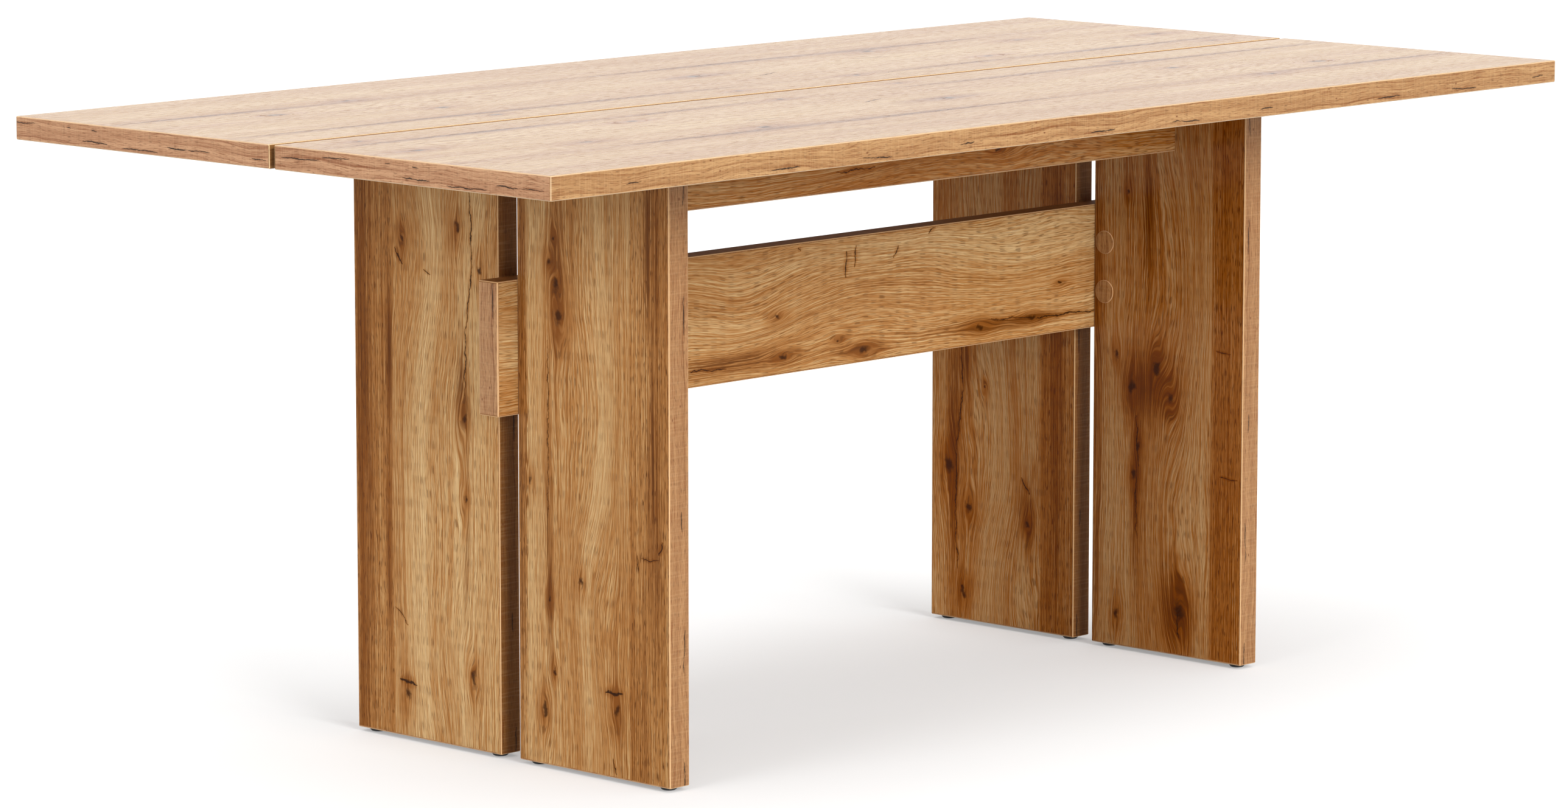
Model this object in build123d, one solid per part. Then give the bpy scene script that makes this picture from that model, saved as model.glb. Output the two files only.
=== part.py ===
from build123d import *
from collections import namedtuple
import math
import os

# Driving dimensions in millimetres: the table as a whole
top_length = 1800.0
top_depth = 900.0
table_height = 765.0
top_thickness = 28.0
plank_gap = 8.0

# Trestle boards
leg_width = 250.0
leg_thickness = 32.0
leg_inset = 367.0
stretcher_height = 160.0
stretcher_thickness = 32.0
stretcher_bottom = 418.0
stretcher_overhang = 32.0
rail_height = 80.0
rail_thickness = 18.0

# Edge bands: thick strip glued to a board's edge, its two long arrises milled round
band_thickness = 2.0
arris_land = 0.5

# Cam locks that draw both leg panels of a trestle against the stretcher
leg_cam_diameter = 25.0
leg_cam_rim = 1.5
leg_cam_throw = 2.5
leg_cam_floor = 1.5
leg_cam_setback = 18.0
leg_cam_pitch = 64.0
leg_cap_diameter = 30.0
leg_bolt_shank = 8.0
leg_bolt_neck = 5.0
leg_bolt_head = 8.0
leg_bolt_head_length = 5.0

# Smaller cam locks that draw the rails against the legs
rail_cam_diameter = 15.0
rail_cam_rim = 0.9
rail_cam_throw = 1.4
rail_cam_floor = 1.0
rail_cam_setback = 34.0
rail_cap_diameter = 18.0
rail_bolt_shank = 7.0
rail_bolt_neck = 3.6
rail_bolt_head = 6.0
rail_bolt_head_length = 3.0
rail_bolt_thread = 6.0
rail_bolt_thread_length = 11.0
rail_fixing_pitch = 32.0
dowel_diameter = 8.0
dowel_length = 30.0
dowel_chamfer = 1.0

# Cross recess for the screwdriver, cap thickness, and how deep a drum lies under its face
driver_width = 6.0
driver_slot = 1.4
driver_depth = 2.5
cap_thickness = 1.2
cap_edge_radius = 0.6
cam_recess = 0.5

# Steel angles and pan-head screws that hold the planks down
bracket_flange = 30.0
bracket_width = 20.0
bracket_thickness = 2.0
bracket_bend_radius = 2.0
bracket_corner_radius = 4.0
bracket_hole = 4.4
bracket_hole_distance = 18.0
leg_bracket_spacing = 150.0
rail_bracket_spacing = 500.0
screw_diameter = 3.5
screw_length = 16.0
screw_point = 3.0
screw_head_diameter = 7.0
screw_head_height = 2.4

# Floor glides: a round plastic foot moulded on a steel nail
glide_diameter = 20.0
glide_height = 5.0
glide_collar = 1.0
glide_inset = 18.0
nail_diameter = 2.4
nail_length = 18.0
nail_point = 3.0
nail_head_diameter = 7.0
nail_head_thickness = 1.4

# Clearances between a piece and the hole that it goes in
turning_clearance = 0.3
bolt_clearance = 0.2
driven_clearance = 0.05
dowel_clearance = 0.1
hole_end_room = 0.5
overcut = 1.0
same_place = 0.01

# Places that follow from the driving dimensions
top_underside = table_height - top_thickness
leg_outer = top_length / 2 - leg_inset
leg_inner = leg_outer - leg_thickness
leg_near = stretcher_thickness / 2
leg_far = leg_near + leg_width
leg_middle = leg_near + leg_width / 2
stretcher_middle = stretcher_bottom + stretcher_height / 2
rail_middle = top_underside - rail_height / 2
arris_radius = band_thickness - arris_land

ENDS = {"left": -1, "right": 1}
SIDES = {"front": -1, "rear": 1}
LEVELS = {"upper": 1, "lower": -1}
X_AXIS, Y_AXIS, Z_AXIS = range(3)

CamSize = namedtuple("CamSize", "diameter rim throw floor shank neck head head_length cap")
leg_cam = CamSize(leg_cam_diameter, leg_cam_rim, leg_cam_throw, leg_cam_floor, leg_bolt_shank,
                  leg_bolt_neck, leg_bolt_head, leg_bolt_head_length, leg_cap_diameter)
rail_cam = CamSize(rail_cam_diameter, rail_cam_rim, rail_cam_throw, rail_cam_floor, rail_bolt_shank,
                   rail_bolt_neck, rail_bolt_head, rail_bolt_head_length, rail_cap_diameter)

nodes = {}


def block(low, high):
    """A box between two corners."""
    size = [b - a for a, b in zip(low, high)]
    middle = [(a + b) / 2 for a, b in zip(low, high)]
    return Pos(*middle) * Box(*size)


def hole(mouth, direction, diameter, depth):
    """A drill's cylinder that starts just outside the mouth and ends at the depth."""
    drill = Cylinder(diameter / 2, depth + overcut, align=(Align.CENTER, Align.CENTER, Align.MIN))
    return Plane(origin=mouth, z_dir=direction) * Pos(0, 0, -overcut) * drill


def banded_board(low, high, thin, banded):
    """A board's core and its edge bands; a band runs past the ends of those listed before it.

    thin is the axis of the board's thickness, and banded names each banded edge as (axis, sign).
    """
    edges = list(banded.values())
    middle = [(a + b) / 2 for a, b in zip(low, high)]

    def is_milled(edge):
        offset = [value - centre for value, centre in zip(edge.center(), middle)]
        met = [(axis, math.copysign(1, value)) for axis, value in enumerate(offset)
               if abs(value) > same_place]
        on_band = any(face in edges for face in met)
        return on_band and all(face in edges or face[0] == thin for face in met)

    whole = block(low, high)
    whole = fillet(whole.edges().filter_by(is_milled), arris_radius)

    core_low = [a + band_thickness * ((axis, -1) in edges) for axis, a in enumerate(low)]
    core_high = [b - band_thickness * ((axis, 1) in edges) for axis, b in enumerate(high)]
    bands = {}
    for order, (name, (axis, sign)) in enumerate(banded.items()):
        band_low, band_high = list(low), list(high)
        if sign > 0:
            band_low[axis] = band_high[axis] - band_thickness
        else:
            band_high[axis] = band_low[axis] + band_thickness
        for later_axis, later_sign in edges[order + 1:]:
            if later_axis != axis and later_sign > 0:
                band_high[later_axis] -= band_thickness
            elif later_axis != axis:
                band_low[later_axis] += band_thickness
        bands[name] = whole & block(band_low, band_high)
    return block(core_low, core_high), bands


def add_board(name, band_prefix, board, holes):
    """Drills a board and its bands together and files each under its own name."""
    core, bands = board
    nodes[name] = core - holes
    for band_name, band in bands.items():
        reached = [cut for cut in holes if (band & cut) and (band & cut).volume > 0]
        nodes[f"{band_prefix}_{band_name}"] = band - reached if reached else band


def lock_radius(cam):
    """Distance from the drum's axis to the wall that bears on the bolt's head when it is locked."""
    return cam.diameter / 2 - cam.rim - cam.throw


def bore_radius(cam):
    """Radius of the blind bore that the drum turns in."""
    return cam.diameter / 2 + turning_clearance


def drum_bottom(cam, bolt_depth):
    """Depth of the drum's lower end under the board's face."""
    return bolt_depth + cam.head / 2 + turning_clearance + cam.floor


def cam_drum(cam, bolt_depth):
    """A locked cam: its axis is Z, its driver face looks up, and its bolt arrives along +X.

    The bolt's head lies in a chamber set off-centre, its neck in a slit round half of the wall.
    Turning the drum half a turn brings the mouth, a round window in the wall, to the bolt.
    """
    bottom = drum_bottom(cam, bolt_depth)
    drum = Pos(0, 0, -bottom) * Cylinder(cam.diameter / 2, bottom - cam_recess,
                                         align=(Align.CENTER, Align.CENTER, Align.MIN))
    head_room = cam.head + 2 * turning_clearance
    chamber_radius = lock_radius(cam) + cam.throw / 2
    chamber = Pos(-cam.throw / 2, 0, -bolt_depth) * Cylinder(chamber_radius, head_room)
    half_slit = cam.neck / 2 + turning_clearance
    slit = block((-cam.diameter, -cam.diameter, -bolt_depth - half_slit),
                 (cam.diameter, half_slit, -bolt_depth + half_slit))
    mouth = hole((0, 0, -bolt_depth), (-1, 0, 0), head_room, cam.diameter)
    blade = Pos(0, 0, -cam_recess) * Box(driver_width, driver_slot, 2 * driver_depth)
    driver = [Rot(0, 0, turn) * blade for turn in (0, 90)]
    return drum - [chamber, slit, mouth] - driver


def bolt_end(cam):
    """Profile of a bolt's end, as (distance from the drum's axis, radius), from the shank inwards."""
    reach = lock_radius(cam) - turning_clearance
    neck, head = cam.neck / 2, cam.head / 2
    neck_end = math.sqrt(reach ** 2 - neck ** 2)
    head_start = math.sqrt(reach ** 2 - head ** 2)
    return [(bore_radius(cam), cam.shank / 2), (bore_radius(cam), neck), (neck_end, neck),
            (head_start, head), (head_start - cam.head_length, head)]


def turned(profile):
    """A solid turned about X from (distance along X, radius) points, closed along the axis."""
    points = [(profile[0][0], 0), *profile]
    if profile[-1][1] > 0:
        points.append((profile[-1][0], 0))
    return revolve(make_face(Polyline(*points, close=True)), Axis.X)


def cover_cap(cam):
    """A flat round cap with a softened rim, lying on Z = 0."""
    cap = Cylinder(cam.cap / 2, cap_thickness, align=(Align.CENTER, Align.CENTER, Align.MIN))
    return fillet(cap.edges().sort_by(Axis.Z)[-1], cap_edge_radius)


leg_bolt_depth = leg_thickness / 2
rail_bolt_depth = rail_thickness / 2
cam_axis_offset = leg_near + leg_cam_setback
cap_stations = {"stretcher_cam_caps": [], "rail_cam_caps": []}

# Stretcher bolts: one bolt with a head at each end serves the cams of both leg panels
bolt_half = [(cam_axis_offset - away, radius) for away, radius in bolt_end(leg_cam)]
bolt_profile = [(-along, radius) for along, radius in reversed(bolt_half)] + bolt_half
stretcher_bolt = turned(bolt_profile)
shank_hole = leg_bolt_shank + 2 * bolt_clearance
stretcher_bolts = []
stretcher_holes = []
for end in ENDS.values():
    for level in LEVELS.values():
        spot = (end * (leg_inner + leg_bolt_depth), 0, stretcher_middle + level * leg_cam_pitch / 2)
        stretcher_bolts.append(Plane(origin=spot, x_dir=(0, 1, 0), z_dir=(0, 0, 1)) * stretcher_bolt)
        mouth = (spot[0], -stretcher_thickness / 2, spot[2])
        stretcher_holes.append(hole(mouth, (0, 1, 0), shank_hole, stretcher_thickness + overcut))
nodes["stretcher_bolts"] = Compound(stretcher_bolts)

# Angle bracket in its own frame: one flange hangs on the wall X = 0, the other lies under Z = 0
bracket_outline = [(0, 0), (bracket_flange, 0), (bracket_flange, -bracket_thickness),
                   (bracket_thickness, -bracket_thickness), (bracket_thickness, -bracket_flange),
                   (0, -bracket_flange)]
bracket_side = Plane.XZ * make_face(Polyline(*bracket_outline, close=True))
bracket = extrude(bracket_side, bracket_width / 2, both=True)
inner_corner = (bracket_thickness, 0, -bracket_thickness)
inner_bend = bracket.edges().filter_by(Axis.Y).sort_by_distance(inner_corner)[0]
bracket = fillet(inner_bend, bracket_bend_radius)
outer_bend = bracket.edges().filter_by(Axis.Y).sort_by_distance((0, 0, 0))[0]
bracket = fillet(outer_bend, bracket_bend_radius + bracket_thickness)
tip_corners = (bracket.edges().filter_by(Axis.Z).group_by(Axis.X)[-1]
               + bracket.edges().filter_by(Axis.X).group_by(Axis.Z)[0])
bracket = fillet(tip_corners, bracket_corner_radius)
wall_seat = (bracket_thickness, 0, -bracket_hole_distance)
top_seat = (bracket_hole_distance, 0, -bracket_thickness)
drill_depth = bracket_thickness + overcut
bracket -= [hole(wall_seat, (-1, 0, 0), bracket_hole, drill_depth),
            hole(top_seat, (0, 0, 1), bracket_hole, drill_depth)]

# Pan-head screw in its own frame: it points down from its seat at the origin
head_radius = screw_head_diameter / 2
shank_radius = screw_diameter / 2
screw_side = Polyline((0, -screw_length), (shank_radius, screw_point - screw_length),
                      (shank_radius, 0), (head_radius, 0))
dome_radius = (head_radius ** 2 + screw_head_height ** 2) / (2 * screw_head_height)
screw_dome = RadiusArc((head_radius, 0), (0, screw_head_height), -dome_radius)
screw_axis = Line((0, screw_head_height), (0, -screw_length))
screw = revolve(Plane.XZ * make_face([screw_side, screw_dome, screw_axis]), Axis.Z)

brackets = []
screws = []
pilot_depth = screw_length - bracket_thickness + hole_end_room
pilot_diameter = screw_diameter + 2 * driven_clearance


def fit_bracket(corner, outward):
    """Sets a bracket with its screws in the corner under the top.

    Returns the pilot holes for the screws, in the wall and in the top.
    """
    place = Plane(origin=corner, x_dir=outward, z_dir=(0, 0, 1))
    brackets.append(place * bracket)
    screws.append(Plane(origin=place.from_local_coords(wall_seat), z_dir=outward) * screw)
    screws.append(Plane(origin=place.from_local_coords(top_seat), z_dir=(0, 0, -1)) * screw)
    wall_mouth = place.from_local_coords((0, 0, -bracket_hole_distance))
    top_mouth = place.from_local_coords((bracket_hole_distance, 0, 0))
    inward = [-value for value in outward]
    return (hole(wall_mouth, inward, pilot_diameter, pilot_depth),
            hole(top_mouth, (0, 0, 1), pilot_diameter, pilot_depth))


# Floor glide and its nail in their own frame: the sole is at the origin, the nail points up
nail_seat = glide_height - glide_collar - nail_head_thickness
nail_tip = glide_height + nail_length
nail_neck = nail_seat + nail_head_thickness
nail_outline = [(nail_seat, nail_head_diameter / 2), (nail_neck, nail_head_diameter / 2),
                (nail_neck, nail_diameter / 2), (nail_tip - nail_point, nail_diameter / 2), (nail_tip, 0)]
nail = Rot(0, -90, 0) * turned(nail_outline)
nail_hole = nail_diameter + 2 * driven_clearance
foot = Cylinder(glide_diameter / 2, glide_height, align=(Align.CENTER, Align.CENTER, Align.MIN))
foot = fillet(foot.edges().sort_by(Axis.Z)[0], glide_height - glide_collar)
glide = foot - nail
glides = []
nails = []

# Wooden dowel in its own frame, along X
dowel_radius = dowel_diameter / 2
dowel_half = dowel_length / 2
dowel = turned([(-dowel_half, dowel_radius - dowel_chamfer), (-dowel_half + dowel_chamfer, dowel_radius),
                (dowel_half - dowel_chamfer, dowel_radius), (dowel_half, dowel_radius - dowel_chamfer)])

# Rail bolt in its own frame: it leaves the leg's face at the origin along +X
rail_bolt_end = [(rail_cam_setback - away, radius) for away, radius in bolt_end(rail_cam)]
rail_bolt = turned([(-rail_bolt_thread_length, rail_bolt_thread / 2), (0, rail_bolt_thread / 2),
                    (0, rail_bolt_shank / 2)] + rail_bolt_end)
rail_bolts = []
dowels = []
thread_hole = rail_bolt_thread + 2 * driven_clearance
thread_depth = rail_bolt_thread_length + hole_end_room
rail_shank_hole = rail_bolt_shank + 2 * bolt_clearance
dowel_hole = dowel_diameter + 2 * dowel_clearance
dowel_depth = dowel_half + hole_end_room

leg_holes = {(end, side): [] for end in ENDS for side in SIDES}
rail_holes = {side: [] for side in SIDES}
top_holes = {side: [] for side in SIDES}

# Fittings of each leg panel: stretcher cams, brackets, glides, and the rail's bolt and dowel
for end_name, end in ENDS.items():
    inward = (-end, 0, 0)
    outward = (end, 0, 0)
    for side_name, side in SIDES.items():
        holes = leg_holes[end_name, side_name]
        for level_name, level in LEVELS.items():
            height = stretcher_middle + level * leg_cam_pitch / 2
            face_spot = (end * leg_inner, side * cam_axis_offset, height)
            place = Plane(origin=face_spot, x_dir=(0, -side, 0), z_dir=inward)
            nodes[f"cam_{end_name}_{side_name}_{level_name}"] = place * cam_drum(leg_cam, leg_bolt_depth)
            cap_stations["stretcher_cam_caps"].append(place * cover_cap(leg_cam))
            bore_depth = drum_bottom(leg_cam, leg_bolt_depth) + turning_clearance
            holes.append(hole(face_spot, outward, 2 * bore_radius(leg_cam), bore_depth))
            edge_spot = (end * (leg_inner + leg_bolt_depth), side * leg_near, height)
            holes.append(hole(edge_spot, (0, side, 0), shank_hole, leg_cam_setback))
        for step in (-1, 1):
            across = side * leg_middle + step * leg_bracket_spacing / 2
            wall_hole, top_hole = fit_bracket((end * leg_inner, across, top_underside), inward)
            holes.append(wall_hole)
            top_holes[side_name].append(top_hole)
        for across in (leg_near + glide_inset, leg_far - glide_inset):
            sole = (end * (leg_inner + leg_thickness / 2), side * across, 0)
            glides.append(Pos(*sole) * glide)
            nails.append(Pos(*sole) * nail)
            nail_mouth = (sole[0], sole[1], glide_height)
            holes.append(hole(nail_mouth, (0, 0, 1), nail_hole, nail_length + hole_end_room))
        bolt_spot = (end * leg_inner, side * leg_middle, rail_middle + rail_fixing_pitch / 2)
        dowel_spot = (end * leg_inner, side * leg_middle, rail_middle - rail_fixing_pitch / 2)
        rail_bolts.append(Plane(origin=bolt_spot, x_dir=inward, z_dir=(0, 0, 1)) * rail_bolt)
        dowels.append(Pos(*dowel_spot) * dowel)
        holes.append(hole(bolt_spot, outward, thread_hole, thread_depth))
        holes.append(hole(dowel_spot, outward, dowel_hole, dowel_depth))
        rail_holes[side_name].append(hole(bolt_spot, inward, rail_shank_hole, rail_cam_setback))
        rail_holes[side_name].append(hole(dowel_spot, inward, dowel_hole, dowel_depth))

# Fittings of each rail, on the face that looks to the middle of the table
for side_name, side in SIDES.items():
    face = side * (leg_middle - rail_thickness / 2)
    outward = (0, -side, 0)
    for end_name, end in ENDS.items():
        face_spot = (end * (leg_inner - rail_cam_setback), face, rail_middle + rail_fixing_pitch / 2)
        place = Plane(origin=face_spot, x_dir=(end, 0, 0), z_dir=outward)
        nodes[f"rail_cam_{side_name}_{end_name}"] = place * cam_drum(rail_cam, rail_bolt_depth)
        cap_stations["rail_cam_caps"].append(place * cover_cap(rail_cam))
        bore_depth = drum_bottom(rail_cam, rail_bolt_depth) + turning_clearance
        rail_holes[side_name].append(hole(face_spot, (0, side, 0), 2 * bore_radius(rail_cam), bore_depth))
        wall_hole, top_hole = fit_bracket((end * rail_bracket_spacing / 2, face, top_underside), outward)
        rail_holes[side_name].append(wall_hole)
        top_holes[side_name].append(top_hole)

# Top planks, full length, with a shadow gap between them
for side_name, side in SIDES.items():
    y_low, y_high = sorted((side * plank_gap / 2, side * top_depth / 2))
    plank = banded_board((-top_length / 2, y_low, top_underside), (top_length / 2, y_high, table_height),
                         Z_AXIS, {"left": (X_AXIS, -1), "right": (X_AXIS, 1),
                                  "outer": (Y_AXIS, side), "gap": (Y_AXIS, -side)})
    add_board(f"top_plank_{side_name}", f"top_{side_name}_band", plank, top_holes[side_name])

# Leg panels, two at each end, the stretcher's thickness apart
for end_name, end in ENDS.items():
    x_low, x_high = sorted((end * leg_inner, end * leg_outer))
    for side_name, side in SIDES.items():
        y_low, y_high = sorted((side * leg_near, side * leg_far))
        panel = banded_board((x_low, y_low, glide_height), (x_high, y_high, top_underside), X_AXIS,
                             {"foot": (Z_AXIS, -1), "outer": (Y_AXIS, side), "gap": (Y_AXIS, -side)})
        name = f"leg_{end_name}_{side_name}"
        add_board(name, f"{name}_band", panel, leg_holes[end_name, side_name])

# Stretcher on edge through both leg gaps, its ends standing proud of the legs
stretcher_half = leg_outer + stretcher_overhang
stretcher_top = stretcher_bottom + stretcher_height
stretcher = banded_board((-stretcher_half, -stretcher_thickness / 2, stretcher_bottom),
                         (stretcher_half, stretcher_thickness / 2, stretcher_top),
                         Y_AXIS, {"left": (X_AXIS, -1), "right": (X_AXIS, 1),
                                  "upper": (Z_AXIS, 1), "lower": (Z_AXIS, -1)})
add_board("stretcher", "stretcher_band", stretcher, stretcher_holes)

# Rails under the planks, from leg to leg, banded on their lower edge
for side_name, side in SIDES.items():
    y_low, y_high = (side * leg_middle + half for half in (-rail_thickness / 2, rail_thickness / 2))
    rail = banded_board((-leg_inner, y_low, top_underside - rail_height), (leg_inner, y_high, top_underside),
                        Y_AXIS, {"lower": (Z_AXIS, -1)})
    add_board(f"rail_{side_name}", f"rail_{side_name}_band", rail, rail_holes[side_name])

nodes["rail_bolts"] = Compound(rail_bolts)
nodes["rail_dowels"] = Compound(dowels)
nodes["top_brackets"] = Compound(brackets)
nodes["bracket_screws"] = Compound(screws)
nodes["floor_glides"] = Compound(glides)
nodes["glide_nails"] = Compound(nails)
for name, caps in cap_stations.items():
    nodes[name] = Compound(caps)

os.makedirs("parts", exist_ok=True)
for name, shape in nodes.items():
    export_step(shape, f"parts/{name}.step")
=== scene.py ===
import math
from functools import partial

import bpy
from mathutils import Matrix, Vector


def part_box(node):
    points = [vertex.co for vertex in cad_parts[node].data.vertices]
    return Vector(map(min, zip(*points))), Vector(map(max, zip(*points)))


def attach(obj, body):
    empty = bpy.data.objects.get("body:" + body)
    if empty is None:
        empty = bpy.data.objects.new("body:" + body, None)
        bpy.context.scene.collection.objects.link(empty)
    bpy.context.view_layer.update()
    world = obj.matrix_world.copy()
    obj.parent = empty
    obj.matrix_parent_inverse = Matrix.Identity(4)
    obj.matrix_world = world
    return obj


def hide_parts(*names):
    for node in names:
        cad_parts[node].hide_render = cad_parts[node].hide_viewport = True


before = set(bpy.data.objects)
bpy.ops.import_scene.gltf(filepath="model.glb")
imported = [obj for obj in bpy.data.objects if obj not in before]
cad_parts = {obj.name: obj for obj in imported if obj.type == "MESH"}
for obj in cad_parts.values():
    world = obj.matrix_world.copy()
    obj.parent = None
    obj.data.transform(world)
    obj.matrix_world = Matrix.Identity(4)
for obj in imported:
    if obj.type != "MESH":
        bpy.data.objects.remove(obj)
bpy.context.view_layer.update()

# Leg panels: four upright boards, two at each end of the table. Each is chipboard pressed between sheets
# of oak decor paper in melamine resin, cut to size on a panel saw and drilled for its fittings.
MM = 0.001
ENDS = {"left": -1, "right": 1}
SIDES = {"front": -1, "rear": 1}


def linear(hexa):
    """An sRGB hex colour as the linear colour that a shader takes."""
    channels = [int(hexa[at:at + 2], 16) / 255 for at in (1, 3, 5)]
    return (*(c / 12.92 if c <= 0.04045 else ((c + 0.055) / 1.055) ** 2.4 for c in channels), 1.0)


def add(tree, kind, inputs=None, **settings):
    """Adds a node with its settings; an input is a value, a socket, or a node, meaning its first output."""
    node = tree.nodes.new(kind)
    for name, value in settings.items():
        setattr(node, name, value)
    for key, value in (inputs or {}).items():
        named = [socket for socket in node.inputs if socket.name == key and socket.enabled]
        socket = named[0] if named else node.inputs[key]
        if isinstance(value, bpy.types.Node):
            value = next(output for output in value.outputs if output.enabled)
        if isinstance(value, bpy.types.NodeSocket):
            tree.links.new(value, socket)
        else:
            socket.default_value = value
    return node


def new_group(name, kind, inputs, outputs):
    """An empty node group: its tree, what it is given, its results, and the function that adds a node."""
    tree = bpy.data.node_groups.new(name, kind)
    for direction, sockets in (("INPUT", inputs), ("OUTPUT", outputs)):
        for label, socket in sockets.items():
            tree.interface.new_socket(label, in_out=direction, socket_type="NodeSocket" + socket)
    given = tree.nodes.new("NodeGroupInput").outputs
    result = tree.nodes.new("NodeGroupOutput").inputs
    return tree, given, result, partial(add, tree)


def new_material(name):
    """An empty material, and the function that adds a node to it."""
    material = bpy.data.materials.new(name)
    material.use_nodes = True
    material.node_tree.nodes.clear()
    return material, partial(add, material.node_tree)


def finish_nodes(names, material):
    """Gives CAD nodes one material."""
    for name in names:
        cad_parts[name].data.materials.clear()
        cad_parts[name].data.materials.append(material)


# Streaks are noise drawn out along the grain: Size is their length and width in millimetres
streaks, given, result, node = new_group(
    "oak_streaks", "ShaderNodeTree",
    {"Flow": "Vector", "Size": "Vector", "Salt": "Vector", "Detail": "Float", "Low": "Float",
     "High": "Float"},
    {"Mask": "Float", "Raw": "Float"})
drawn = node("ShaderNodeVectorMath", {0: given["Flow"], 1: given["Size"]}, operation="DIVIDE")
salted = node("ShaderNodeVectorMath", {0: drawn, 1: given["Salt"]}, operation="ADD")
noise = node("ShaderNodeTexNoise", {"Vector": salted, "Scale": 1.0, "Detail": given["Detail"]},
             noise_dimensions="2D")
raw = node("ShaderNodeMath", {0: noise, 1: 0.5}, operation="SUBTRACT")
mask = node("ShaderNodeMapRange", {"Value": noise, "From Min": given["Low"], "From Max": given["High"]},
            interpolation_type="SMOOTHSTEP")
streaks.links.new(mask.outputs[0], result["Mask"])
streaks.links.new(raw.outputs[0], result["Raw"])

# A swell is a smooth hill over an oval: the grain climbs it and so draws a flat-sawn board's long arches
swell, given, result, node = new_group(
    "oak_swell", "ShaderNodeTree", {"Flat": "Vector", "Place": "Vector", "Reach": "Vector"},
    {"Fall": "Float", "Push": "Float"})
away = node("ShaderNodeVectorMath", {0: given["Flat"], 1: given["Place"]}, operation="SUBTRACT")
share = node("ShaderNodeVectorMath", {0: away, 1: given["Reach"]}, operation="DIVIDE")
square = node("ShaderNodeVectorMath", {0: share, 1: share}, operation="DOT_PRODUCT")
negative = node("ShaderNodeMath", {0: square, 1: -1.0}, operation="MULTIPLY")
fall = node("ShaderNodeMath", {0: negative}, operation="EXPONENT")
across_grain = node("ShaderNodeSeparateXYZ", {0: away}).outputs["Y"]
push = node("ShaderNodeMath", {0: fall, 1: across_grain}, operation="MULTIPLY")
swell.links.new(fall.outputs[0], result["Fall"])
swell.links.new(push.outputs[0], result["Push"])

# A knot: the grain parts round it, its surroundings are stained and its heart is dark and ragged
KNOT_STAIN = (5.5, 2.2, 1.0)
knot, given, result, node = new_group(
    "oak_knot", "ShaderNodeTree", {"Flat": "Vector", "Wander": "Vector", "Place": "Vector", "Size": "Float"},
    {"Push": "Float", "Stain": "Float", "Heart": "Float"})
reach = node("ShaderNodeVectorMath", {0: KNOT_STAIN, "Scale": given["Size"]}, operation="SCALE")
hill = node("ShaderNodeGroup", {"Flat": given["Flat"], "Place": given["Place"], "Reach": reach},
            node_tree=swell)
away = node("ShaderNodeVectorMath", {0: given["Flat"], 1: given["Place"]}, operation="SUBTRACT")
oval = node("ShaderNodeVectorMath", {0: away, 1: (0.62, 1.0, 0.0)}, operation="MULTIPLY")
ragged = node("ShaderNodeVectorMath", {0: given["Wander"], 1: (14.0, 14.0, 0.0), 2: oval},
              operation="MULTIPLY_ADD")
distance = node("ShaderNodeVectorMath", {0: ragged}, operation="LENGTH")
ratio = node("ShaderNodeMath", {0: distance, 1: given["Size"]}, operation="DIVIDE")
heart = node("ShaderNodeMapRange", {"Value": ratio, "From Min": 1.0, "From Max": 0.25},
             interpolation_type="SMOOTHSTEP")
knot.links.new(hill.outputs["Push"], result["Push"])
knot.links.new(hill.outputs["Fall"], result["Stain"])
knot.links.new(heart.outputs[0], result["Heart"])

# A crack: a dark split from Start to End that tapers to both ends and wanders a little
crack, given, result, node = new_group(
    "oak_crack", "ShaderNodeTree",
    {"Flat": "Vector", "Wander": "Vector", "Start": "Vector", "End": "Vector", "Width": "Float"},
    {"Split": "Float", "Halo": "Float"})
line = node("ShaderNodeVectorMath", {0: given["End"], 1: given["Start"]}, operation="SUBTRACT")
here = node("ShaderNodeVectorMath", {0: given["Flat"], 1: given["Start"]}, operation="SUBTRACT")
moved = node("ShaderNodeVectorMath", {0: given["Wander"], 1: (9.0, 9.0, 0.0), 2: here},
             operation="MULTIPLY_ADD")
along_line = node("ShaderNodeVectorMath", {0: moved, 1: line}, operation="DOT_PRODUCT")
line_square = node("ShaderNodeVectorMath", {0: line, 1: line}, operation="DOT_PRODUCT")
part = node("ShaderNodeMath", {0: along_line, 1: line_square}, operation="DIVIDE", use_clamp=True)
foot = node("ShaderNodeVectorMath", {0: line, "Scale": part}, operation="SCALE")
off = node("ShaderNodeVectorMath", {0: moved, 1: foot}, operation="DISTANCE")
rest = node("ShaderNodeMath", {0: 1.0, 1: part}, operation="SUBTRACT")
bulge = node("ShaderNodeMath", {0: part, 1: rest}, operation="MULTIPLY")
root = node("ShaderNodeMath", {0: bulge}, operation="SQRT")
girth_wander = node("ShaderNodeSeparateXYZ", {0: given["Wander"]}).outputs["Z"]
unevenness = node("ShaderNodeMath", {0: girth_wander, 1: 2.6, 2: 1.0}, operation="MULTIPLY_ADD",
                  use_clamp=True)
uneven = node("ShaderNodeMath", {0: root, 1: unevenness}, operation="MULTIPLY")
girth = node("ShaderNodeMath", {0: uneven, 1: given["Width"], 2: 0.05}, operation="MULTIPLY_ADD")
edge = node("ShaderNodeMath", {0: off, 1: girth}, operation="DIVIDE")
halo_girth = node("ShaderNodeMath", {0: root, 1: given["Width"], 2: 0.05}, operation="MULTIPLY_ADD")
halo_edge = node("ShaderNodeMath", {0: off, 1: halo_girth}, operation="DIVIDE")
halo = node("ShaderNodeMapRange", {"Value": halo_edge, "From Min": 4.5, "From Max": 0.5},
            interpolation_type="SMOOTHSTEP")
crack.links.new(halo.outputs[0], result["Halo"])
split = node("ShaderNodeMapRange", {"Value": edge, "From Min": 1.0, "From Max": 0.3},
             interpolation_type="SMOOTHSTEP")
crack.links.new(split.outputs[0], result["Split"])


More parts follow.
